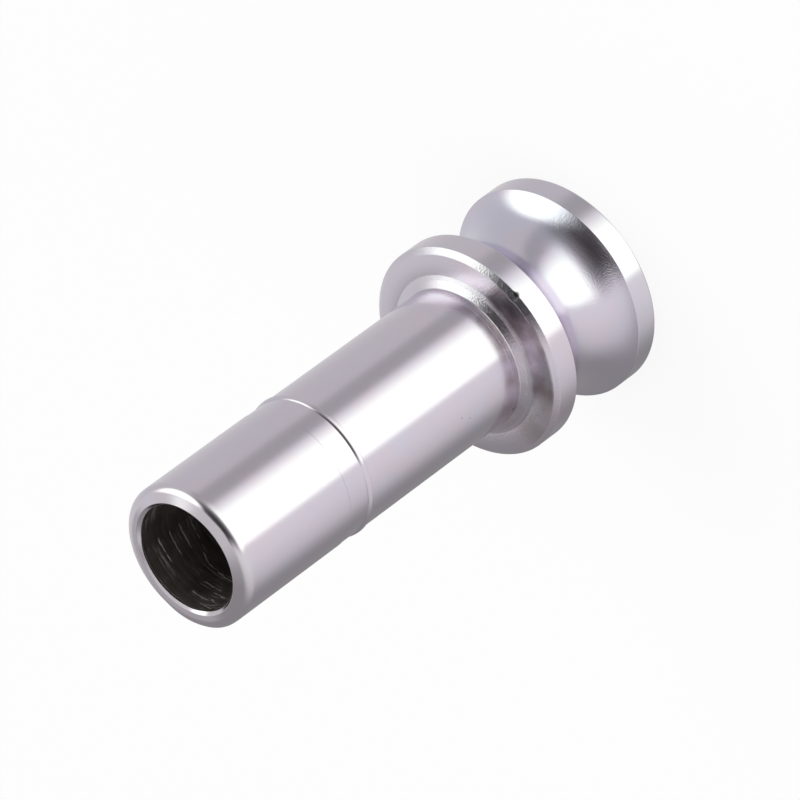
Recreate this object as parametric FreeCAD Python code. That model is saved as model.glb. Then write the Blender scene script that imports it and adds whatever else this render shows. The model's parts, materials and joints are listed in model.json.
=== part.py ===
import FreeCAD, Part
import math
import os

# Blanking plug for push-in tube fittings, 8 mm stem. Millimetres, +Z up.
# One piece turned from round bar: a hollow stem, a thin flange that stops it
# against the socket, a waisted neck to pull it by, and a flat round head.
# It stands on its head. The origin is the centre of the head's flat end and
# the stem's open end points up.

# Stem, the length that goes into the socket
STEM_DIAMETER = 8.0
STEM_LENGTH = 21.87
STEM_END_ROUNDING = 0.55

# Bore, drilled from the stem's open end
BORE_DIAMETER = 6.05
BORE_DEPTH = 18.0
BORE_EDGE_BREAK = 0.12
DRILL_POINT_ANGLE = 118.0

# Fine bead around the stem, with a shallow relief between it and the open end
BEAD_TO_OPEN_END = 9.41
BEAD_WIDTH = 0.3
BEAD_HEIGHT = 0.055
BEAD_FRONT_BEVEL = 0.14
BEAD_BACK_BEVEL = 0.08
RELIEF_LENGTH = 1.45
RELIEF_DEPTH = 0.025

# Flange, with a rounded root at the stem and a bevelled front edge
FLANGE_DIAMETER = 12.1
FLANGE_WIDTH = 1.6
FLANGE_ROOT_RADIUS = 0.5
FLANGE_BEVEL_DEPTH = 0.3
FLANGE_BEVEL_WIDTH = 0.26

# Neck, one hollow arc between the flange and the head
NECK_DIAMETER = 9.0
NECK_WIDTH = 5.1

# Head
HEAD_DIAMETER = 12.1
HEAD_RIM_WIDTH = 1.37
HEAD_EDGE_ROUNDING = 0.12

# Heights from the head's flat end
HEAD_TOP = HEAD_RIM_WIDTH
FLANGE_BACK = HEAD_TOP + NECK_WIDTH
FLANGE_FRONT = FLANGE_BACK + FLANGE_WIDTH
OPEN_END = FLANGE_FRONT + STEM_LENGTH
BEAD_START = OPEN_END - BEAD_TO_OPEN_END
BORE_SHOULDER = OPEN_END - BORE_DEPTH

# Radii
STEM_RADIUS = STEM_DIAMETER / 2
BORE_RADIUS = BORE_DIAMETER / 2
FLANGE_RADIUS = FLANGE_DIAMETER / 2
NECK_RADIUS = NECK_DIAMETER / 2
HEAD_RADIUS = HEAD_DIAMETER / 2
BEAD_RADIUS = STEM_RADIUS + BEAD_HEIGHT
RELIEF_RADIUS = STEM_RADIUS - RELIEF_DEPTH
BORE_TIP = BORE_SHOULDER - BORE_RADIUS / math.tan(math.radians(DRILL_POINT_ANGLE / 2))


class Outline:
    """The half section of a turned piece, drawn in the XZ plane as radius and height."""

    def __init__(self, radius, height):
        self.here = self.point(radius, height)
        self.edges = []

    @staticmethod
    def point(radius, height):
        return FreeCAD.Vector(radius, 0, height)

    def line(self, radius, height):
        """A straight stretch to a new radius and height."""
        there = self.point(radius, height)
        self.edges.append(Part.LineSegment(self.here, there).toShape())
        self.here = there

    def arc(self, centre, middle_angle, radius, height):
        """A round stretch about a centre, by way of the point at an angle from outward."""
        there = self.point(radius, height)
        reach = (self.here - self.point(*centre)).Length
        turn = math.radians(middle_angle)
        middle = self.point(centre[0] + reach * math.cos(turn), centre[1] + reach * math.sin(turn))
        self.edges.append(Part.Arc(self.here, middle, there).toShape())
        self.here = there

    def turned(self):
        """The solid that the closed outline makes when it is turned about the axis."""
        face = Part.Face(Part.Wire(self.edges))
        return face.revolve(FreeCAD.Vector(0, 0, 0), FreeCAD.Vector(0, 0, 1), 360)


def draw_head(outline):
    """Flat end, rounded edge and rim of the head."""
    inner = HEAD_RADIUS - HEAD_EDGE_ROUNDING
    outline.line(inner, 0)
    outline.arc((inner, HEAD_EDGE_ROUNDING), -45, HEAD_RADIUS, HEAD_EDGE_ROUNDING)
    outline.line(HEAD_RADIUS, HEAD_TOP)


def neck_middle():
    """Centre of the neck's arc, the one that meets both rims and touches the neck's radius."""
    head_rise = HEAD_RADIUS - NECK_RADIUS
    flange_rise = FLANGE_RADIUS - NECK_RADIUS
    step = flange_rise - head_rise
    chord = math.sqrt(head_rise * flange_rise * (NECK_WIDTH ** 2 + step ** 2))
    along = head_rise * (NECK_WIDTH ** 2 + flange_rise * step) / (chord + head_rise * NECK_WIDTH)
    reach = (along ** 2 + head_rise ** 2) / (2 * head_rise)
    return NECK_RADIUS + reach, HEAD_TOP + along


def draw_neck(outline):
    """The hollow arc from the head's rim to the flange's rim."""
    outline.arc(neck_middle(), 180, FLANGE_RADIUS, FLANGE_BACK)


def draw_flange(outline):
    """Rim, bevel and flat front of the flange, and its rounded root at the stem."""
    outline.line(FLANGE_RADIUS, FLANGE_FRONT - FLANGE_BEVEL_WIDTH)
    outline.line(FLANGE_RADIUS - FLANGE_BEVEL_DEPTH, FLANGE_FRONT)
    outline.line(STEM_RADIUS + FLANGE_ROOT_RADIUS, FLANGE_FRONT)
    root = (STEM_RADIUS + FLANGE_ROOT_RADIUS, FLANGE_FRONT + FLANGE_ROOT_RADIUS)
    outline.arc(root, 225, STEM_RADIUS, FLANGE_FRONT + FLANGE_ROOT_RADIUS)


def draw_stem(outline):
    """The stem with its bead, relief and rounded open end."""
    outline.line(STEM_RADIUS, BEAD_START - BEAD_WIDTH)
    outline.line(BEAD_RADIUS, BEAD_START - BEAD_WIDTH + BEAD_BACK_BEVEL)
    outline.line(BEAD_RADIUS, BEAD_START - BEAD_FRONT_BEVEL)
    outline.line(RELIEF_RADIUS, BEAD_START)
    outline.line(RELIEF_RADIUS, BEAD_START + RELIEF_LENGTH)
    outline.line(STEM_RADIUS, BEAD_START + RELIEF_LENGTH + RELIEF_DEPTH)
    outline.line(STEM_RADIUS, OPEN_END - STEM_END_ROUNDING)
    rounding = (STEM_RADIUS - STEM_END_ROUNDING, OPEN_END - STEM_END_ROUNDING)
    outline.arc(rounding, 45, STEM_RADIUS - STEM_END_ROUNDING, OPEN_END)


def draw_bore(outline):
    """The flat end, the bore's broken edge, its wall and the cone that the drill leaves."""
    outline.line(BORE_RADIUS + BORE_EDGE_BREAK, OPEN_END)
    outline.line(BORE_RADIUS, OPEN_END - BORE_EDGE_BREAK)
    outline.line(BORE_RADIUS, BORE_SHOULDER)
    outline.line(0, BORE_TIP)
    outline.line(0, 0)


outline = Outline(0, 0)
draw_head(outline)
draw_neck(outline)
draw_flange(outline)
draw_stem(outline)
draw_bore(outline)
plug = outline.turned()

os.makedirs("parts", exist_ok=True)
plug.exportStep("parts/plug.step")
print("plug", plug.ShapeType, "valid", plug.isValid(), "volume", round(plug.Volume, 2), "mm3")
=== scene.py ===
import json
import math

import bpy
from mathutils import Matrix, Vector


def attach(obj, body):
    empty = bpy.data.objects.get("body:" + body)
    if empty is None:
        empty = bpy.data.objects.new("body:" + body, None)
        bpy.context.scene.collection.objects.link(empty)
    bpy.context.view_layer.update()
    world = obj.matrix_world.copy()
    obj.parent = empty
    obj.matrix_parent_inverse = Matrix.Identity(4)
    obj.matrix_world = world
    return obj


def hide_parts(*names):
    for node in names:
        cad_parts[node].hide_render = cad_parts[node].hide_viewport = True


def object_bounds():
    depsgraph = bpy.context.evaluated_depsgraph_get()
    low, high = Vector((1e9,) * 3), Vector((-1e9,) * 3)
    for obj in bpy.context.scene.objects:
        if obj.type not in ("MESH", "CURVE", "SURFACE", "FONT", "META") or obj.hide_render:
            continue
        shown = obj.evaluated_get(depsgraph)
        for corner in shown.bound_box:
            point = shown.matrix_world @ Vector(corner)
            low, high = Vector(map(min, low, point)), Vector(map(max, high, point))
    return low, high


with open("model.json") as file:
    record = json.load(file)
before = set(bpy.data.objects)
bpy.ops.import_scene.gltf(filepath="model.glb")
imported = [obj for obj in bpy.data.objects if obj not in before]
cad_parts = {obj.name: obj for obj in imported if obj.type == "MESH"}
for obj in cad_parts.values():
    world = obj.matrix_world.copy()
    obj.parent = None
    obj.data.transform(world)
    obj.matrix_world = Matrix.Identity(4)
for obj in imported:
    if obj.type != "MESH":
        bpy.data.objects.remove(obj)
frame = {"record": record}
cad_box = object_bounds()

# The plug
# One piece turned from round brass bar and nickel plated. A hollow stem goes into the socket, a thin
# flange stops it, and a waisted neck and a flat round head are there to pull it out by. A fine bead
# goes round the stem. The lathe leaves fine rings on every face and the drill scores the bore.

MM = 0.001
mounts = {mount["name"]: mount for mount in frame["record"]["mounts"]}
STEM_RADIUS = mounts["stem"]["dims"]["r_mm"] * MM
BORE_RADIUS = mounts["stem_bore"]["dims"]["r_mm"] * MM
BORE_SHOULDER = mounts["stem_bore"]["pos_m"][2] - mounts["stem_bore"]["dims"]["length_mm"] * MM / 2
RIM_RADIUS = cad_box[1].x
OPEN_END = cad_box[1].z

STEM_LENGTH = 21.87 * MM
STEM_END_ROUNDING = 0.55 * MM
MOUTH_WEAR = 0.36 * MM
BORE_EDGE_BREAK = 0.17 * MM
BORE_EDGE_FLATTENING = 0.6
DRILL_POINT_ANGLE = math.radians(118)
SCORED_DEPTH = 4.8 * MM
BEAD_START = OPEN_END - 9.41 * MM
BEAD_WIDTH = 0.34 * MM
BEAD_HEIGHT = 0.075 * MM
BEAD_FRONT_BEVEL = 0.12 * MM
BEAD_BACK_BEVEL = 0.07 * MM
BEAD_CROWN = 0.27 * MM
RELIEF_LENGTH = 1.33 * MM
RELIEF_DEPTH = 0.03 * MM
FLANGE_WIDTH = 1.6 * MM
FLANGE_CROWN = 0.12 * MM
ROOT_FLAT_OUTSIDE = 0.6 * MM
ROOT_FLAT_INSIDE = 0.36 * MM
ROOT_FLAT_RISE = 0.12 * MM
FLANGE_ROOT_HEIGHT = 0.48 * MM
ROOT_TOP_ROUNDING = 0.08 * MM
FLANGE_BEVEL_DEPTH = 0.3 * MM
FLANGE_BEVEL_WIDTH = 0.26 * MM
NECK_RADIUS = 4.5 * MM
HEAD_TOP = 1.37 * MM
HEAD_EDGE_ROUNDING = 0.12 * MM
EDGE_BREAK = 0.045 * MM
SMALL_BREAK = 0.01 * MM
BURNISH_BELOW = 0.02 * MM
BURNISH_INSIDE = 0.035 * MM
BURNISH_RISE = 0.008 * MM
ROOT_FOOT_ROUNDING = 0.04 * MM
ROOT_FLAT_ROUNDING = 0.06 * MM
BEAD_BACK_ROUNDING = 0.02 * MM
BORE_EDGE_ROUNDING = 0.03 * MM
CORNER_GUARD = 0.015 * MM
CORNER_STEP = 0.045 * MM


class Outline:
    """The half section of a turned piece, as stretches between corners that are then rounded."""

    def __init__(self, radius, height):
        self.stretches = []
        self.roundings = []
        self.here = Vector((radius, height))

    def stretch(self, points, rounding):
        """Adds a stretch. Its far corner gets that rounding."""
        self.stretches.append([self.here, *points])
        self.roundings.append(rounding)
        self.here = points[-1]

    def line(self, radius, height, rounding=0.0, parts=1):
        """A straight stretch, cut into equal parts."""
        there = Vector((radius, height))
        self.stretch([self.here.lerp(there, part / parts) for part in range(1, parts + 1)], rounding)

    def arc(self, centre, radius, height, rounding, parts):
        """A hollow stretch about a centre, on the side of it that faces the axis."""
        start = self.here - centre
        end = Vector((radius, height)) - centre
        first = math.atan2(start.y, -start.x)
        last = math.atan2(end.y, -end.x)
        angles = [first + (last - first) * part / parts for part in range(1, parts + 1)]
        self.stretch(
            [centre + start.length * Vector((-math.cos(angle), math.sin(angle))) for angle in angles],
            rounding,
        )

    def crown(self, radius, height, rounding, parts):
        """A gently crowned stretch that grows level towards its end."""
        start = self.here
        shares = [part / parts for part in range(1, parts + 1)]
        self.stretch(
            [
                Vector((
                    start.x + (radius - start.x) * share,
                    height + (start.y - height) * (1 - share) ** 2,
                ))
                for share in shares
            ],
            rounding,
        )

    def points(self):
        """All points in order. The number of points on a round corner depends on its size alone."""
        result = [self.stretches[0][0]]
        for number, stretch in enumerate(self.stretches):
            rounding = self.roundings[number]
            if not rounding:
                result.extend(stretch[1:])
                continue
            guard = min(CORNER_GUARD, rounding / 10)
            corner = stretch[-1]
            before = (corner - stretch[-2]).normalized()
            after = (self.stretches[number + 1][1] - corner).normalized()
            turn = before.angle(after)
            reach = rounding * math.tan(turn / 2)
            side = (after - before * before.dot(after)).normalized()
            result.extend(point for point in stretch[1:-1] if (corner - point).length > reach + guard)
            start = corner - before * reach
            result.append(start - before * guard)
            steps = 3 + round(rounding / CORNER_STEP)
            for step in range(steps + 1):
                angle = turn * step / steps
                result.append(start + rounding * (before * math.sin(angle) + side * (1 - math.cos(angle))))
            result.append(corner + after * (reach + guard))
        return result


# The neck is one arc that meets both rims and touches the neck's radius half way.
FLANGE_FRONT = OPEN_END - STEM_LENGTH
flange_back = FLANGE_FRONT - FLANGE_WIDTH
neck_half = (flange_back - HEAD_TOP) / 2
neck_rise = RIM_RADIUS - NECK_RADIUS
neck_reach = (neck_half ** 2 + neck_rise ** 2) / (2 * neck_rise)
neck_centre = Vector((NECK_RADIUS + neck_reach, HEAD_TOP + neck_half))
bead_radius = STEM_RADIUS + BEAD_HEIGHT
relief_radius = STEM_RADIUS - RELIEF_DEPTH
bevel_inside = RIM_RADIUS - FLANGE_BEVEL_DEPTH
bore_tip = BORE_SHOULDER - BORE_RADIUS / math.tan(DRILL_POINT_ANGLE / 2)


def half_section(mouth_wear):
    """The points of the whole half section. The mouth's outer edge is worn down by that much."""
    outline = Outline(0, 0)
    outline.line(RIM_RADIUS, 0, HEAD_EDGE_ROUNDING, parts=6)
    outline.line(RIM_RADIUS, HEAD_TOP, EDGE_BREAK, parts=4)
    outline.arc(neck_centre, RIM_RADIUS, flange_back, EDGE_BREAK, parts=36)
    outline.line(RIM_RADIUS, FLANGE_FRONT - FLANGE_BEVEL_WIDTH, EDGE_BREAK, parts=10)
    outline.line(bevel_inside + BURNISH_BELOW, FLANGE_FRONT - BURNISH_BELOW, SMALL_BREAK, parts=3)
    outline.line(bevel_inside - BURNISH_INSIDE, FLANGE_FRONT + BURNISH_RISE, SMALL_BREAK)
    root_foot = FLANGE_FRONT + FLANGE_CROWN
    outline.crown(STEM_RADIUS + ROOT_FLAT_OUTSIDE, root_foot, ROOT_FOOT_ROUNDING, parts=10)
    outline.line(STEM_RADIUS + ROOT_FLAT_INSIDE, root_foot + ROOT_FLAT_RISE, ROOT_FLAT_ROUNDING)
    outline.line(STEM_RADIUS, FLANGE_FRONT + FLANGE_ROOT_HEIGHT, ROOT_TOP_ROUNDING, parts=3)
    outline.line(STEM_RADIUS, BEAD_START - BEAD_WIDTH, SMALL_BREAK, parts=6)
    outline.line(bead_radius, BEAD_START - BEAD_WIDTH + BEAD_BACK_BEVEL, BEAD_BACK_ROUNDING)
    outline.line(bead_radius, BEAD_START - BEAD_FRONT_BEVEL, BEAD_CROWN)
    outline.line(relief_radius, BEAD_START, SMALL_BREAK)
    outline.line(relief_radius, BEAD_START + RELIEF_LENGTH, SMALL_BREAK, parts=2)
    outline.line(STEM_RADIUS, BEAD_START + RELIEF_LENGTH + RELIEF_DEPTH, SMALL_BREAK)
    outline.line(STEM_RADIUS, OPEN_END - mouth_wear, STEM_END_ROUNDING, parts=8)
    outline.line(BORE_RADIUS + BORE_EDGE_BREAK, OPEN_END, BORE_EDGE_ROUNDING)
    outline.line(BORE_RADIUS, OPEN_END - BORE_EDGE_BREAK, BORE_EDGE_ROUNDING)
    outline.line(BORE_RADIUS, OPEN_END - SCORED_DEPTH, parts=60)
    outline.line(BORE_RADIUS, BORE_SHOULDER, EDGE_BREAK, parts=8)
    outline.line(0, bore_tip, parts=4)
    return outline.points()


# The mouth's outer edge is worn down on the front. The worn section goes along as the sound one's
# attribute, and the lathe works out how much of each there is at an angle.
sound_points = half_section(0)
worn_points = half_section(MOUTH_WEAR)
section = bpy.data.meshes.new("plug_section")
section.from_pydata(
    [(point.x, 0, point.y) for point in sound_points],
    [(number, number + 1) for number in range(len(sound_points) - 1)],
    [],
)
worn_place = section.attributes.new("worn_place", "FLOAT_VECTOR", "POINT")
for number, point in enumerate(worn_points):
    worn_place.data[number].vector = (point.x, 0, point.y)


class Wire:
    """One socket. A sum written on it adds the Math nodes that work it out."""

    def __init__(self, sheet, socket):
        self.sheet = sheet
        self.socket = socket

    def __add__(self, other):
        return self.sheet.math("ADD", self, other)

    def __sub__(self, other):
        return self.sheet.math("SUBTRACT", self, other)

    def __mul__(self, other):
        return self.sheet.math("MULTIPLY", self, other)

    def __truediv__(self, other):
        return self.sheet.math("DIVIDE", self, other)

    def __pow__(self, other):
        return self.sheet.math("POWER", self, other)

    def __rsub__(self, other):
        return self.sheet.math("SUBTRACT", other, self)

    def __rtruediv__(self, other):
        return self.sheet.math("DIVIDE", other, self)

    __radd__ = __add__
    __rmul__ = __mul__


class Sheet:
    """A node tree that is written out as expressions."""

    def __init__(self, tree):
        self.tree = tree
        tree.nodes.clear()

    def node(self, kind, settings=None, sockets=None, out=0):
        """Adds a node: its settings, then its sockets' values or wires. Gives the wires of its outputs."""
        node = self.tree.nodes.new(kind)
        for name, value in (settings or {}).items():
            setattr(node, name, value)
        for key, value in (sockets or {}).items():
            socket = self.find(node.inputs, key)
            if isinstance(value, Wire):
                self.tree.links.new(value.socket, socket)
            else:
                socket.default_value = value
        if isinstance(out, tuple):
            return [Wire(self, self.find(node.outputs, key)) for key in out]
        return Wire(self, self.find(node.outputs, out)) if len(node.outputs) else node

    @staticmethod
    def find(sockets, key):
        """The socket in use that has this name, or this place in the list."""
        if isinstance(key, int):
            return sockets[key]
        return next(socket for socket in sockets if socket.enabled and socket.name == key)

    def math(self, operation, *values):
        """A Math node on two or three values."""
        return self.node("ShaderNodeMath", {"operation": operation}, dict(enumerate(values)))

    def soft_step(self, value, low, high):
        """Goes smoothly from 0 at low to 1 at high. Low may be the larger one."""
        ends = {"Value": value, "From Min": low, "From Max": high, "To Min": 0.0, "To Max": 1.0}
        return self.node("ShaderNodeMapRange", {"interpolation_type": "SMOOTHSTEP"}, ends)

    def vector(self, x, y, z):
        """Three values as one vector."""
        return self.node("ShaderNodeCombineXYZ", sockets={"X": x, "Y": y, "Z": z})

    def noise(self, vector, scale, detail=2.0, w=None):
        """Cloudy noise from 0 to 1."""
        settings = {"noise_dimensions": "3D" if w is None else "4D"}
        sockets = {"Vector": vector, "Scale": scale, "Detail": detail}
        if w is not None:
            sockets["W"] = w
        return self.node("ShaderNodeTexNoise", settings, sockets)

    def mix(self, share, first, second):
        """From the first colour to the second."""
        colours = {"Factor": share, "A": first, "B": second}
        return self.node("ShaderNodeMix", {"data_type": "RGBA"}, colours, out="Result")


# Turning: the section goes round the axis. Its steps are closest at the one knock, a small flat pressed
# into the flange's bevel. The drill leaves a faint screw line in the bore, and the mouth has been
# squeezed a little out of round.
SIDES = 320
STEP_CROWDING = 0.5
SCREW_PITCH = 0.42 * MM
SCREW_DEPTH = 0.02 * MM
SCREW_START = 0.35 * MM
KNOCK_BEARING = math.radians(8.5)
KNOCK_DEPTH = 0.022 * MM
KNOCK_HALF_LENGTH = 0.16 * MM
KNOCK_REACH = 0.7 * MM
FAR_SIDE_BEARING = math.radians(187)
FAR_SIDE_MARGIN = 0.02 * MM
FLARE_BEARING = math.radians(-128)
FLARE_HALF_ANGLE = math.radians(38)
FLARE = 0.11 * MM
FLARE_LENGTH = 3.0 * MM
FLARE_MARGIN = 0.2 * MM
MERGE_DISTANCE = 0.0005 * MM

lathe = bpy.data.node_groups.new("plug_lathe", "GeometryNodeTree")
lathe_sizes = {
    "Sides": ("NodeSocketInt", SIDES),
    "Bore radius": ("NodeSocketFloat", BORE_RADIUS),
    "Stem radius": ("NodeSocketFloat", STEM_RADIUS),
    "Open end": ("NodeSocketFloat", OPEN_END),
    "Screw pitch": ("NodeSocketFloat", SCREW_PITCH),
    "Screw depth": ("NodeSocketFloat", SCREW_DEPTH),
    "Screw seed": ("NodeSocketFloat", 7.0),
    "Knock bearing": ("NodeSocketFloat", KNOCK_BEARING),
    "Knock depth": ("NodeSocketFloat", KNOCK_DEPTH),
    "Flare bearing": ("NodeSocketFloat", FLARE_BEARING),
    "Flare": ("NodeSocketFloat", FLARE),
    "Flare length": ("NodeSocketFloat", FLARE_LENGTH),
    "Plating": ("NodeSocketMaterial", None),
}
lathe.interface.new_socket("Section", in_out="INPUT", socket_type="NodeSocketGeometry")
for name, (kind, size) in lathe_sizes.items():
    lathe.interface.new_socket(name, in_out="INPUT", socket_type=kind)
lathe.interface.new_socket("Turned piece", in_out="OUTPUT", socket_type="NodeSocketGeometry")

turning = Sheet(lathe)
(
    flat_section, sides, bore_radius, stem_radius, open_end, pitch, depth, seed,
    knock_bearing, knock_depth, flare_bearing, flare, flare_length, plating,
) = turning.node("NodeGroupInput", out=("Section", *lathe_sizes))
rings = turning.node(
    "GeometryNodeAttributeDomainSize", sockets={"Geometry": flat_section}, out="Point Count"
)
grid = turning.node(
    "GeometryNodeMeshGrid",
    sockets={"Size X": 1.0, "Size Y": 1.0, "Vertices X": rings, "Vertices Y": sides + 1},
    out="Mesh",
)
number = turning.node("GeometryNodeInputIndex")
ring = turning.math("FLOOR", number / (sides + 1))
even_angle = (number - ring * (sides + 1)) / sides * math.tau
angle = even_angle - turning.math("SINE", even_angle - knock_bearing) * STEP_CROWDING
out_x = turning.math("SINE", angle)
out_y = 0 - turning.math("COSINE", angle)

sound_place = turning.node(
    "GeometryNodeSampleIndex",
    {"data_type": "FLOAT_VECTOR"},
    {"Geometry": flat_section, "Value": turning.node("GeometryNodeInputPosition"), "Index": ring},
)
worn_attribute = turning.node(
    "GeometryNodeInputNamedAttribute",
    {"data_type": "FLOAT_VECTOR"},
    {"Name": "worn_place"},
    out="Attribute",
)
worn_place = turning.node(
    "GeometryNodeSampleIndex",
    {"data_type": "FLOAT_VECTOR"},
    {"Geometry": flat_section, "Value": worn_attribute, "Index": ring},
)
worn = turning.soft_step(0 - out_y, -0.35, 0.75)
section_place = turning.node(
    "ShaderNodeMix",
    {"data_type": "VECTOR"},
    {"Factor": worn, "A": sound_place, "B": worn_place},
    out="Result",
)
radius, _, height = turning.node("ShaderNodeSeparateXYZ", sockets={0: section_place}, out=("X", "Y", "Z"))
from_mouth = open_end - height

# The far side of the bore's broken edge is flatter than the rest
far_side = turning.soft_step(turning.math("COSINE", angle - FAR_SIDE_BEARING), 0.5, 0.85)
on_break = turning.math("LESS_THAN", from_mouth, BORE_EDGE_BREAK + FAR_SIDE_MARGIN)
on_break = on_break * turning.math("LESS_THAN", radius, bore_radius + BORE_EDGE_BREAK + BORE_EDGE_ROUNDING)
flattened = from_mouth * far_side * on_break * BORE_EDGE_FLATTENING

in_bore = turning.soft_step(radius, bore_radius * 1.004, bore_radius * 1.001)
past_mouth = turning.soft_step(from_mouth, BORE_EDGE_BREAK, SCREW_START)
screw = from_mouth / pitch + angle / math.tau
rise = turning.math("SINE", screw * math.tau) * 0.5 + 0.5
patch = turning.noise(turning.vector(out_x * 1.6, out_y * 1.6, screw * 0.45 + seed), 1.3, 3.0)
fine = turning.noise(turning.vector(out_x * 0.6, out_y * 0.6, screw * 3.1 + seed), 1.0, 2.0)
widened = in_bore * past_mouth * depth * (rise ** 6 * turning.soft_step(patch, 0.44, 0.62) + fine)

flare_side = turning.math("COSINE", angle - flare_bearing)
flare_side = turning.soft_step(flare_side, math.cos(FLARE_HALF_ANGLE), 1.0)
flare_outside = turning.soft_step(radius, bore_radius + FLARE_MARGIN, stem_radius - FLARE_MARGIN)
flared = flare * flare_side * flare_outside * turning.soft_step(from_mouth, flare_length, 0.0)

bevel_slant = math.hypot(FLANGE_BEVEL_DEPTH, FLANGE_BEVEL_WIDTH)
bevel_out = FLANGE_BEVEL_WIDTH / bevel_slant
bevel_up = FLANGE_BEVEL_DEPTH / bevel_slant
above_flat = (radius - RIM_RADIUS) * bevel_out + (height - FLANGE_FRONT + FLANGE_BEVEL_WIDTH) * bevel_up
above_flat = turning.math("MAXIMUM", above_flat + knock_depth, 0.0)
knock_end = math.cos(1.7 * KNOCK_HALF_LENGTH / RIM_RADIUS)
knock_full = math.cos(0.3 * KNOCK_HALF_LENGTH / RIM_RADIUS)
knocked = turning.soft_step(turning.math("COSINE", angle - knock_bearing), knock_end, knock_full)
knocked = knocked * above_flat * turning.math("GREATER_THAN", radius, RIM_RADIUS - KNOCK_REACH)

true_radius = radius + widened + flared - knocked * bevel_out
true_height = height + flattened - knocked * bevel_up
turned_place = turning.vector(out_x * true_radius, out_y * true_radius, true_height)
turned = turning.node("GeometryNodeSetPosition", sockets={"Geometry": grid, "Position": turned_place})
closed = turning.node(
    "GeometryNodeMergeByDistance", sockets={"Geometry": turned, "Distance": MERGE_DISTANCE}
)
smooth = turning.node("GeometryNodeSetShadeSmooth", sockets={"Geometry": closed, "Shade Smooth": True})
whole = turning.node("GeometryNodeRealizeInstances", sockets={"Geometry": smooth})
plated = turning.node("GeometryNodeSetMaterial", sockets={"Geometry": whole, "Material": plating})
turning.node("NodeGroupOutput", sockets={"Turned piece": plated})

# Nickel plate: lilac grey on the stem, bluer on the neck and rosier on the flange, with faint clouds, a
# painted bluish reflection on one side of the neck and flange, painted shade on the flange's front and at
# the root, and one brown stain on the flange's front. It is satin from the lathe's rings and a fine grain,
# coarser on the flange and next to the head. Old oil and painted shade darken the bore, and the drill has
# scored it bright in places.
HEAD_TINT = (0.76, 0.72, 0.80, 1)
NECK_TINT = (0.757, 0.703, 0.805, 1)
# The blues are a painted bluish reflection on one side of the neck and flange
NECK_BLUE_REFLECTION = (0.722, 0.706, 0.828, 1)
FLANGE_TINT = (0.785, 0.70, 0.785, 1)
FLANGE_BLUE_REFLECTION = (0.763, 0.714, 0.797, 1)
# Painted shade on one side of the flange's front
FACE_SHADE = (0.62, 0.545, 0.585, 1)
# Painted shade in the root's corner
ROOT_SHADE = (0.60, 0.53, 0.58, 1)
# Used both as painted shade on the flange's front and for one brown stain
STAIN_AND_SHADE_BROWN = (0.40, 0.34, 0.36, 1)
STEM_TINT = (0.768, 0.702, 0.794, 1)
MOUTH_TINT = (0.772, 0.717, 0.776, 1)
ROSE_CLOUD = (0.79, 0.69, 0.775, 1)
BLUE_CLOUD = (0.745, 0.71, 0.82, 1)
CLOUD_SHARE = 0.55
# Dark dirt, also used as painted shade at the bead, in a scribed line, in the knock and in the bore
DIRT_AND_SHADE = (0.10, 0.085, 0.085, 1)
# The bore's dark oil, also painted shade deep in the bore
OILY_SHADED_BORE = (0.05, 0.04, 0.037, 1)
BARE_SCORE = (0.78, 0.74, 0.70, 1)
OIL_METALLIC = 0.1
SATIN = 0.18
RINGS_PER_MM = 9
RING_HEIGHT = 0.0012 * MM
GRAINS_PER_MM = 13.0
GRAIN_HEIGHT = 0.013 * MM
FINE_GRAIN = 0.06
SCRIBED_LINE = 21.85

nickel = bpy.data.materials.new("nickel_plate")
nickel.use_nodes = True
plate = Sheet(nickel.node_tree)
spot = plate.node("ShaderNodeTexCoord", out="Object")
spot_mm = plate.node(
    "ShaderNodeVectorMath", {"operation": "SCALE"}, {0: spot, "Scale": 1 / MM}, out="Vector"
)
x, y, z = plate.node("ShaderNodeSeparateXYZ", sockets={0: spot_mm}, out=("X", "Y", "Z"))
from_axis = plate.math("SQRT", x * x + y * y)
around_x = x / (from_axis + 0.001)
around_y = y / (from_axis + 0.001)
above_flange = z - FLANGE_FRONT / MM
below_mouth = OPEN_END / MM - z


def on_side(bearing_degrees):
    """The cosine of how far round the axis a point is from a bearing."""
    turn = math.radians(bearing_degrees)
    return around_x * math.sin(turn) - around_y * math.cos(turn)


def band(value, low, high, soft):
    """1 between two values, with soft edges."""
    return plate.soft_step(value, low - soft, low) * plate.soft_step(value, high + soft, high)


def dot(bearing_degrees, from_axis_mm, height, size):
    """A small round mark, in degrees and millimetres."""
    turn = math.radians(bearing_degrees)
    centre = (from_axis_mm * math.sin(turn), -from_axis_mm * math.cos(turn), height)
    away = plate.node(
        "ShaderNodeVectorMath", {"operation": "DISTANCE"}, {0: spot_mm, 1: centre}, out="Value"
    )
    return plate.soft_step(away, size, size * 0.4)


# A painted bluish reflection on one side of the neck and flange
bluish_reflection_side = plate.soft_step(on_side(80), 0.1, 0.7)
neck_tint = plate.mix(bluish_reflection_side, NECK_TINT, NECK_BLUE_REFLECTION)
flange_tint = plate.mix(bluish_reflection_side, FLANGE_TINT, FLANGE_BLUE_REFLECTION)
tint = plate.mix(plate.soft_step(z, HEAD_TOP / MM - 0.05, HEAD_TOP / MM + 0.05), HEAD_TINT, neck_tint)
tint = plate.mix(plate.soft_step(z, flange_back / MM - 0.05, flange_back / MM + 0.05), tint, flange_tint)
on_face = band(above_flange, -0.02, 0.4, 0.05) * plate.soft_step(from_axis, STEM_RADIUS / MM + 0.4, 4.6)
# Painted shade: one side of the flange's front is darker
tint = plate.mix(on_face * plate.soft_step(on_side(-40), 0.55, 0.75), tint, FACE_SHADE)
tint = plate.mix(plate.soft_step(above_flange, 0.9, 1.4), tint, STEM_TINT)
tint = plate.mix(plate.soft_step(below_mouth, 0.9, 0.5), tint, MOUTH_TINT)
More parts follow.
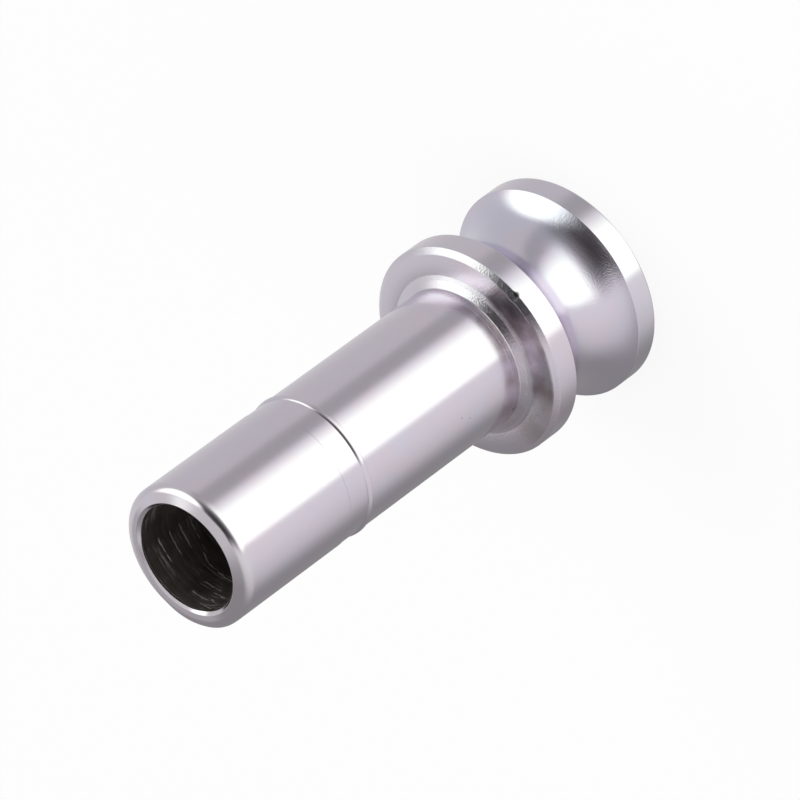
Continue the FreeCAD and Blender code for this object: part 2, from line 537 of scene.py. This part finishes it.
# Painted shade: the root's corner is darker on one side
shaded_root = band(above_flange, 0.25, 0.75, 0.2) * plate.soft_step(from_axis, 4.5, 4.35)
shaded_root = shaded_root * plate.soft_step(from_axis, BORE_RADIUS / MM + 0.5, STEM_RADIUS / MM - 0.2)
tint = plate.mix(shaded_root * plate.soft_step(on_side(-45), 0.3, 0.8) * 0.7, tint, ROOT_SHADE)
# A painted shade spot on one side of the flange's front
tint = plate.mix(on_face * plate.soft_step(on_side(-37), 0.93, 0.985), tint, STAIN_AND_SHADE_BROWN)
# A brown stain on the flange's front
tint = plate.mix(on_face * plate.soft_step(on_side(2), 0.93, 0.97), tint, STAIN_AND_SHADE_BROWN)
rose_clouds = plate.noise(spot_mm, 0.55, 3.0)
blue_clouds = plate.noise(plate.vector(x + 31, y - 17, z + 5), 0.45, 3.0)
tint = plate.mix(plate.soft_step(rose_clouds, 0.45, 0.65) * CLOUD_SHARE, tint, ROSE_CLOUD)
tint = plate.mix(plate.soft_step(blue_clouds, 0.48, 0.68) * CLOUD_SHARE, tint, BLUE_CLOUD)

# Painted shade darkens the creases at the bead's foot and back, a faint scribed line beyond it and the
# knock, and dirt sits in one pit at the root and in two specks on the stem
patchy = plate.noise(plate.vector(around_x * 2.5, around_y * 2.5, z * 0.2), 1.0, 2.0)
outside = plate.soft_step(from_axis, BORE_RADIUS / MM + 0.5, STEM_RADIUS / MM - 0.2)
bead_foot = BEAD_START / MM
bead_back = (BEAD_START - BEAD_WIDTH) / MM
# Painted shade in the creases at the bead's foot and back
bead_foot_shade = band(z, bead_foot - 0.03, bead_foot + 0.01, 0.02)
bead_foot_shade = bead_foot_shade * plate.soft_step(on_side(10), 0.85, 0.95) * 0.5
bead_side_shade = band(z, bead_foot - 0.01, bead_foot + 0.02, 0.02)
bead_side_shade = bead_side_shade + band(z, bead_back + 0.04, bead_back + 0.06, 0.02)
bead_side_shade = bead_side_shade * plate.soft_step(on_side(-75), 0.6, 0.95) * 0.4
# A painted dark line stands in for the shade of a faint scribed groove
scribed = band(z, SCRIBED_LINE, SCRIBED_LINE + 0.015, 0.02) * plate.soft_step(on_side(-10), 0.7, 0.9) * 0.22
tint = plate.mix((bead_foot_shade + bead_side_shade) * plate.soft_step(patchy, 0.3, 0.55) * outside, tint, DIRT_AND_SHADE)
tint = plate.mix(scribed * outside, tint, DIRT_AND_SHADE)
tint = plate.mix(dot(-68.8, 4.0, 8.85, 0.1), tint, DIRT_AND_SHADE)
tint = plate.mix((dot(-39.2, 4.0, 13.11, 0.08) + dot(-43.8, 4.0, 12.54, 0.07)) * 0.3, tint, DIRT_AND_SHADE)
# Painted shade in the knock
tint = plate.mix(dot(8.5, 6.02, FLANGE_FRONT / MM - 0.27, 0.2) * 0.85, tint, DIRT_AND_SHADE)

ring_spot = plate.vector(from_axis * RINGS_PER_MM, z * RINGS_PER_MM, around_x * 0.8)
lathe_rings = plate.noise(ring_spot, 1.0, 3.0, w=around_y * 0.8)
grain = plate.noise(spot_mm, GRAINS_PER_MM, 2.0)
smears = plate.noise(plate.vector(from_axis * 2, z * 2, around_x * 2.5), 1.0, 3.0, w=around_y * 2.5)
coarse_flange = band(above_flange, -0.3, 0.9, 0.1) * outside
coarse_neck = band(z, HEAD_TOP / MM + 0.1, flange_back / MM - 0.1, 0.2) * 0.2
near_head = band(z, HEAD_TOP / MM + 0.3, HEAD_TOP / MM + 1.6, 0.5)
coarse_neck = coarse_neck + near_head * plate.soft_step(on_side(5), 0.8, 0.97) * 0.5
coarse = plate.math("MAXIMUM", coarse_flange, coarse_neck)

# The bore: old oil over drilled metal, darkened further by painted shade. The drill's lip has scored it
# in a few places, a little deeper at each turn. Bearings are in degrees from the far side of the bore.
SCORE_WIDTH = 0.05
inside = plate.soft_step(from_axis, BORE_RADIUS / MM + 0.08, BORE_RADIUS / MM + 0.05)
oiled_and_shaded = inside * plate.soft_step(below_mouth, 0.13, 0.19)
oiled_and_shaded = oiled_and_shaded * plate.soft_step(z, bore_tip / MM - 0.2, bore_tip / MM - 0.1)
round_bore = plate.math("ARCTAN2", 0 - x, y) * (180 / math.pi)
waver = (plate.noise(plate.vector(x * 0.9, y * 0.9, z * 2), 1.0, 3.0) - 0.5) * 0.35
broken = plate.noise(plate.vector(x * 3.0, y * 3.0, z * 9), 1.0, 2.0)


def scores(bearing, first, feed, count, half_length, slope):
    """Bright scores, one for each turn of the drill: degrees round the bore and millimetres down it."""
    along = round_bore - bearing
    down = below_mouth + waver - first - along * slope
    turns = plate.math("ROUND", plate.math("MINIMUM", plate.math("MAXIMUM", down / feed, 0.0), count - 1.0))
    off_line = plate.math("ABSOLUTE", down - turns * feed)
    line = plate.soft_step(off_line, SCORE_WIDTH, SCORE_WIDTH * 0.2)
    return line * plate.soft_step(plate.math("ABSOLUTE", along), half_length, half_length * 0.7)


scored = scores(bearing=-19, first=1.35, feed=0.76, count=4, half_length=15, slope=0.004)
scored = plate.math("MAXIMUM", scored, scores(40, 1.1, 0.95, 3, 12, -0.006))
scored = plate.math("MAXIMUM", scored, scores(14, 3.15, 0.6, 1, 10, -0.01))
scored = plate.math("MAXIMUM", scored, scores(56, 0.62, 0.5, 3, 11, -0.01))
scored = scored * plate.soft_step(broken, 0.34, 0.52) * oiled_and_shaded
hairs = plate.noise(plate.vector(x * 0.5, y * 0.5, (z + waver + round_bore * 0.003) * 13), 1.0, 2.0)
hair_patches = plate.noise(plate.vector(x * 0.7 + 9, y * 0.7, z * 0.7), 1.0, 2.0)
hairs = plate.soft_step(hairs, 0.54, 0.7) * plate.soft_step(hair_patches, 0.42, 0.6) * oiled_and_shaded * 0.45
scored = plate.math("MAXIMUM", scored, hairs)
oil_stains = plate.noise(plate.vector(x * 0.8, y * 0.8, z * 0.8), 1.0, 3.0)
# The bore's dark colour is old oil and painted shade
oily_and_shaded = plate.mix(plate.soft_step(oil_stains, 0.35, 0.65) * 0.6, OILY_SHADED_BORE, DIRT_AND_SHADE)
colour = plate.mix(oiled_and_shaded, tint, plate.mix(scored, oily_and_shaded, BARE_SCORE))
metallic = 1 - oiled_and_shaded * (1 - OIL_METALLIC) * (1 - scored * 0.6)
roughness = SATIN + (smears - 0.5) * 0.08 + coarse * 0.03 + oiled_and_shaded * 0.2

ring_bump = plate.node(
    "ShaderNodeBump",
    sockets={"Strength": 1.0, "Distance": RING_HEIGHT, "Height": lathe_rings},
)
grain_bump = plate.node(
    "ShaderNodeBump",
    sockets={
        "Strength": FINE_GRAIN + coarse * (1 - FINE_GRAIN),
        "Distance": GRAIN_HEIGHT,
        "Height": grain,
        "Normal": ring_bump,
    },
)
finish = plate.node(
    "ShaderNodeBsdfPrincipled",
    sockets={"Base Color": colour, "Metallic": metallic, "Roughness": roughness, "Normal": grain_bump},
)
plate.node("ShaderNodeOutputMaterial", sockets={"Surface": finish})

blank = bpy.data.objects.new("plug_blank", section)
bpy.context.scene.collection.objects.link(blank)
turner = blank.modifiers.new("turning", "NODES")
turner.node_group = lathe
lathe_values = {**{name: size for name, (kind, size) in lathe_sizes.items()}, "Plating": nickel}
for item in lathe.interface.items_tree:
    if item.in_out == "INPUT" and item.name in lathe_values:
        turner[item.identifier] = lathe_values[item.name]

finished = blank.evaluated_get(bpy.context.evaluated_depsgraph_get())
plug = bpy.data.objects.new("turned_plug", bpy.data.meshes.new_from_object(finished))
plug.data.name = "turned_plug"
bpy.context.scene.collection.objects.link(plug)
blank.modifiers.remove(turner)
bpy.data.objects.remove(blank)
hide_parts("plug")
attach(plug, "root")

# The table
# A plain white table top under the head. It keeps the plug's soft shadow. What the camera sees of it
# is mostly its own white, so that the shadow stays pale.
TABLE_SIZE = 3.0
TABLE_WHITE = (0.9, 0.9, 0.9, 1)
SHADOW_SHARE = 0.15

table_top = bpy.data.meshes.new("table")
half = TABLE_SIZE / 2
corners = [(-half, -half, 0), (half, -half, 0), (half, half, 0), (-half, half, 0)]
table_top.from_pydata(corners, [], [(0, 1, 2, 3)])
table = bpy.data.objects.new("table", table_top)
bpy.context.scene.collection.objects.link(table)
table.visible_glossy = False

paint = bpy.data.materials.new("table_white")
paint.use_nodes = True
coat = Sheet(paint.node_tree)
seen, seen_through = coat.node("ShaderNodeLightPath", out=("Is Camera Ray", "Is Transmission Ray"))
lit = coat.node("ShaderNodeBsdfDiffuse", sockets={"Color": TABLE_WHITE})
white = coat.node("ShaderNodeEmission", sockets={"Color": (1, 1, 1, 1), "Strength": 1.0})
shown = coat.math("MAXIMUM", seen, seen_through) * (1 - SHADOW_SHARE)
surface = coat.node("ShaderNodeMixShader", sockets={0: shown, 1: lit, 2: white})
coat.node("ShaderNodeOutputMaterial", sockets={"Surface": surface})
table_top.materials.append(paint)

# The studio
# Soft white panels and a black flag round the plug, in pale grey walls. Bearings are in degrees from
# the camera, to the plug's right as seen from it, and heights are in degrees above the table.
LEFT_WALL = 0.82
LEFT_BACK_WALL = 0.52
RIGHT_WALL = 0.60
RIGHT_BACK_WALL = 0.70
DARK_CORNER = 0.29
CEILING = 0.66
GAP = 0.43
FRONT_PANEL = 1.5
ROUND_PANEL = 1.55
FLAG_TOP = 0.042
FLAG_BOTTOM = 0.2
LESS_RED = 0.02
MORE_GREEN = 0.06
LESS_BLUE = 0.05

studio = bpy.data.worlds.new("studio")
studio.use_nodes = True
bpy.context.scene.world = studio
air = Sheet(studio.node_tree)
direction = air.node("ShaderNodeTexCoord", out="Generated")
to_x, to_y, to_z = air.node("ShaderNodeSeparateXYZ", sockets={0: direction}, out=("X", "Y", "Z"))
bearing = air.math("ARCTAN2", to_x, 0 - to_y) * (180 / math.pi)
up = air.math("ARCSINE", to_z) * (180 / math.pi)


def toward(bearing_degrees, height_degrees):
    """The direction of a bearing and height, as a plain vector."""
    level = math.cos(math.radians(height_degrees))
    return (
        level * math.sin(math.radians(bearing_degrees)),
        -level * math.cos(math.radians(bearing_degrees)),
        math.sin(math.radians(height_degrees)),
    )


def disc(bearing_degrees, height_degrees, inner, outer):
    """A soft round patch of the studio, full within the inner angle and gone at the outer one."""
    centre = toward(bearing_degrees, height_degrees)
    nearness = air.node(
        "ShaderNodeVectorMath", {"operation": "DOT_PRODUCT"}, {0: direction, 1: centre}, out="Value"
    )
    return air.soft_step(nearness, math.cos(math.radians(outer)), math.cos(math.radians(inner)))


def blend(share, first, second):
    """From the first grey to the second."""
    return first + share * (second - first)


# Grey walls, with a dark corner behind the plug on the left and a gap to the right of the front panel
left_walls = blend(air.soft_step(bearing, -120, -45), LEFT_BACK_WALL, LEFT_WALL)
right_walls = blend(air.soft_step(bearing, 110, 175), RIGHT_WALL, RIGHT_BACK_WALL)
light = blend(air.soft_step(to_x, -0.15, 0.2), left_walls, right_walls)
dark_corner = air.soft_step(to_x, 0.2, -0.17) * air.soft_step(to_y, -0.05, 0.5)
light = blend(dark_corner, light, DARK_CORNER)
light = blend(disc(0, 90, 5, 25), light, CEILING)
gap = air.soft_step(bearing, 34, 46) * air.soft_step(bearing, 76, 62) * air.soft_step(up, 50, 30)
light = blend(gap, light, GAP)

# The front panel, with a sharp left edge and a soft right one, fading upwards
panel_sides = air.soft_step(bearing, -38, -32) * air.soft_step(bearing, 48, 12)
light = blend(panel_sides * air.soft_step(up, 38, 3), light, FRONT_PANEL)

# The flag above the camera, wider at its top, and the round panel to the right
flag_left = bearing + air.math("MAXIMUM", up - 66, 0.0) * 3
flag_right = bearing - air.math("MAXIMUM", up - 45, 0.0) * 1.2
flag = air.soft_step(flag_left, -46, -16) * air.soft_step(flag_right, 70, 52)
flag = flag * air.soft_step(up, 8, 36) * air.soft_step(up, 87, 81)
light = blend(flag, light, blend(air.soft_step(up, 30, 57), FLAG_BOTTOM, FLAG_TOP))
light = blend(disc(98, 42, 20, 29), light, ROUND_PANEL)

# The panels' white is very slightly green, and the camera sees a plain white backdrop
whiteness = air.soft_step(light, 0.85, 1.3)
glow = air.vector(
    light * (1 - LESS_RED * whiteness),
    light * (1 + MORE_GREEN * whiteness),
    light * (1 - LESS_BLUE * whiteness),
)
seen, seen_through = air.node("ShaderNodeLightPath", out=("Is Camera Ray", "Is Transmission Ray"))
walls = air.node("ShaderNodeBackground", sockets={"Color": glow, "Strength": 1.0})
backdrop = air.node("ShaderNodeBackground", sockets={"Color": (1, 1, 1, 1), "Strength": 1.0})
around = air.node(
    "ShaderNodeMixShader", sockets={0: air.math("MAXIMUM", seen, seen_through), 1: walls, 2: backdrop}
)
air.node("ShaderNodeOutputWorld", sockets={"Surface": around})

# A wide soft lamp overhead lights the table, and doesn't show in the metal
LAMP_HEIGHT = 0.6
LAMP_WIDTH = 0.8
LAMP_POWER = 2.2

lamp_data = bpy.data.lights.new("top_lamp", "AREA")
lamp_data.shape = "DISK"
lamp_data.size = LAMP_WIDTH
lamp_data.energy = LAMP_POWER
lamp = bpy.data.objects.new("top_lamp", lamp_data)
lamp.location = (0, 0, LAMP_HEIGHT)
lamp.visible_camera = False
lamp.visible_glossy = False
bpy.context.scene.collection.objects.link(lamp)

# The camera
# It looks down on the plug from in front, and is turned on its side, so that the stem points to the
# lower left of the square picture. The stem's open end is placed by its pixel.
CAMERA_HEIGHT_ANGLE = math.radians(37.095)
CAMERA_TURN = math.radians(36.265)
LENS = 315.0
SENSOR = 36.0
PICTURE = 800
MOUTH_PIXEL = (184.426, 559.813)
MOUTH_DISTANCE = 346.922 * MM

level_right = Vector((1, 0, 0))
level_up = Vector((0, math.sin(CAMERA_HEIGHT_ANGLE), math.cos(CAMERA_HEIGHT_ANGLE)))
forward = Vector((0, math.cos(CAMERA_HEIGHT_ANGLE), -math.sin(CAMERA_HEIGHT_ANGLE)))
right = -math.sin(CAMERA_TURN) * level_right - math.cos(CAMERA_TURN) * level_up
upward = math.cos(CAMERA_TURN) * level_right - math.sin(CAMERA_TURN) * level_up

picture_scale = MOUTH_DISTANCE * SENSOR / (LENS * PICTURE)
mouth_right = (MOUTH_PIXEL[0] - PICTURE / 2) * picture_scale
mouth_down = (MOUTH_PIXEL[1] - PICTURE / 2) * picture_scale
mouth = Vector((0, 0, OPEN_END))
station = mouth - right * mouth_right + upward * mouth_down - forward * MOUTH_DISTANCE

camera_data = bpy.data.cameras.new("camera")
camera_data.lens = LENS
camera_data.sensor_width = SENSOR
camera_data.clip_start = 0.01
camera_data.clip_end = 10.0
camera = bpy.data.objects.new("camera", camera_data)
bpy.context.scene.collection.objects.link(camera)
camera.matrix_world = Matrix.Translation(station) @ Matrix((right, upward, -forward)).transposed().to_4x4()
bpy.context.scene.camera = camera
bpy.context.scene.view_settings.view_transform = "Standard"
